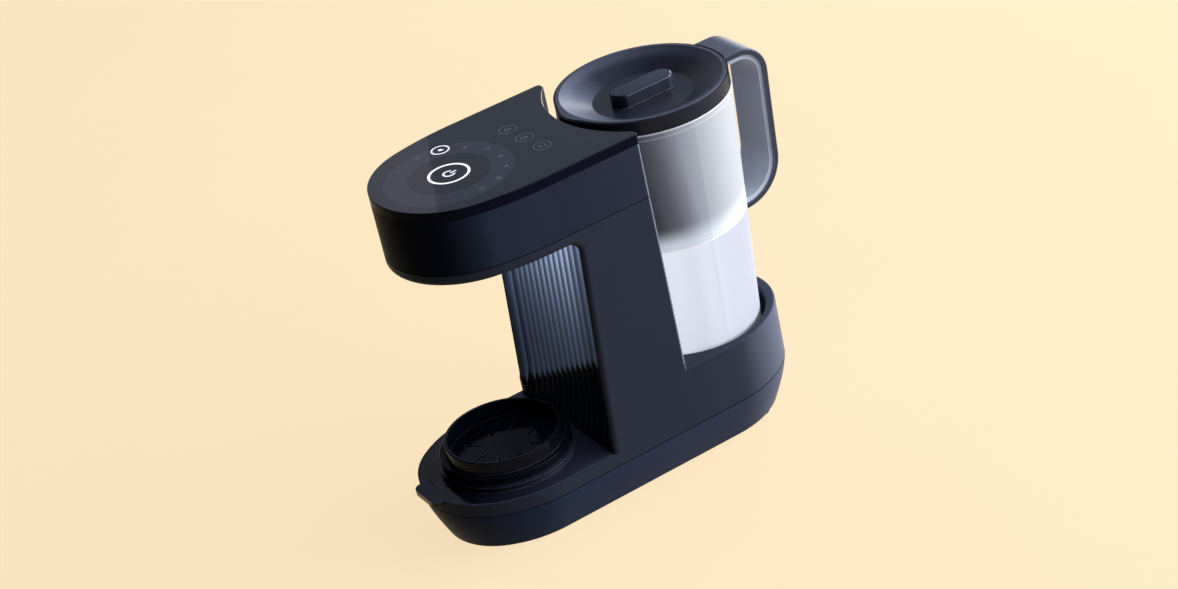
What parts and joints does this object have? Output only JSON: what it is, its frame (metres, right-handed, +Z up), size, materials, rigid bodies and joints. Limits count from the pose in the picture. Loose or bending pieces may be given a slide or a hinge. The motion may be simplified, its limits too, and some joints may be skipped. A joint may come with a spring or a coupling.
{
  "type": "baby formula maker",
  "caption": "Counter-top baby formula maker: rounded body with touch panel and nozzle over a bottle stand, ribbed column, lift-out frosted water jug with lid and handle.",
  "frame": {"origin": "centre of the footprint box, on the table under the rubber feet", "axes": "+Z up, front and bottle side towards -Y, jug and handle towards +Y"},
  "size_m": [0.16, 0.4116, 0.3356],
  "materials": {
    "body_plastic": "satin",
    "gloss_panel": "polished",
    "gloss_deck": "polished",
    "rib_plastic": "satin",
    "lid_plastic": "satin",
    "handle_plastic": "satin",
    "frosted_liner": "satin",
    "frosted_jug": "satin",
    "light_guide": "polished",
    "feet_rubber": "matte",
    "silicone": "matte",
    "works_plastic": "moulded",
    "trim_plastic": "satin",
    "filter_plastic": "moulded",
    "circuit_board": "solder mask",
    "board_parts": "moulded",
    "steel": "brushed",
    "coil_wire": "moulded"
  },
  "bodies": {
    "housing": {"base_pan": "body_plastic", "rubber_feet": "feet_rubber", "base_screws": "steel", "mains_inlet": "trim_plastic", "main_housing": "body_plastic", "head_housing": "body_plastic", "control_panel": "gloss_panel", "power_ring_light": "light_guide", "dose_ring_light": "light_guide", "touch_board": "circuit_board", "board_screws": "steel", "speaker": "works_plastic", "night_light_lens": "light_guide", "night_light_board": "circuit_board", "nozzle_body": "works_plastic", "nozzle_ring": "trim_plastic", "nozzle_outlet": "silicone", "ribbed_panel": "rib_plastic", "dock_probe": "works_plastic", "dock_seal": "silicone", "pump_head": "works_plastic", "pump_motor": "steel", "pump_mounts": "feet_rubber", "flow_meter": "works_plastic", "flow_meter_cap": "works_plastic", "diverter_block": "works_plastic", "diverter_coil": "coil_wire", "boiler": "steel", "boiler_clamps": "steel", "thermostats": "steel", "power_board": "circuit_board", "power_components": "board_parts", "hose_inlet": "silicone", "hose_suction": "silicone", "hose_riser": "silicone", "hose_boiler": "silicone", "hose_hot": "silicone", "hose_cold": "silicone"},
    "tray": {"drip_tray": "gloss_deck"},
    "stand": {"bottle_stand": "gloss_deck"},
    "jug": {"jug_body": "frosted_jug", "jug_collar": "lid_plastic", "jug_handle": "handle_plastic", "jug_handle_liner": "frosted_liner", "valve_seat": "works_plastic", "valve_cap": "works_plastic", "valve_spring": "steel"},
    "filter": {"filter_cartridge": "filter_plastic"},
    "valve": {"valve_plunger": "works_plastic", "valve_seal": "silicone"},
    "lid": {"lid_dish": "lid_plastic", "lid_seal": "silicone", "lid_grip": "lid_plastic"},
    "pump_rotor": {"pump_rotor": "steel"},
    "meter_rotor": {"flow_rotor": "works_plastic"},
    "diverter": {"diverter_core": "steel"}
  },
  "joints": [
    {"name": "tray_lift", "type": "slide", "parent": "housing", "child": "tray", "axis": [0, 0, 1], "range_m": [0, 0.05]},
    {"name": "stand_lift", "type": "slide", "parent": "tray", "child": "stand", "axis": [0, 0, 1], "range_m": [0, 0.03]},
    {"name": "jug_lift", "type": "slide", "parent": "housing", "child": "jug", "axis": [0, 0, 1], "range_m": [0, 0.06]},
    {"name": "lid_lift", "type": "slide", "parent": "jug", "child": "lid", "axis": [0, 0, 1], "range_m": [0, 0.03]},
    {"name": "filter_lift", "type": "slide", "parent": "jug", "child": "filter", "axis": [0, 0, 1], "range_m": [0, 0.1]},
    {"name": "valve_open", "type": "slide", "parent": "jug", "child": "valve", "axis": [0, 0, 1], "range_m": [0, 0.0035], "stiffness_N_per_m": 150, "springref_m": -0.003, "deforming": ["valve_spring"]},
    {"name": "diverter_lift", "type": "slide", "parent": "housing", "child": "diverter", "axis": [0, 0, 1], "range_m": [0, 0.003], "stiffness_N_per_m": 200, "springref_m": -0.003},
    {"name": "pump_spin", "type": "hinge", "parent": "housing", "child": "pump_rotor", "pos_m": [-0.033, -0.01126, 0.024], "axis": [1, 0, 0], "continuous": true},
    {"name": "meter_spin", "type": "hinge", "parent": "housing", "child": "meter_rotor", "pos_m": [0, 0.03874, 0.02], "axis": [0, 0, 1], "continuous": true}
  ]
}
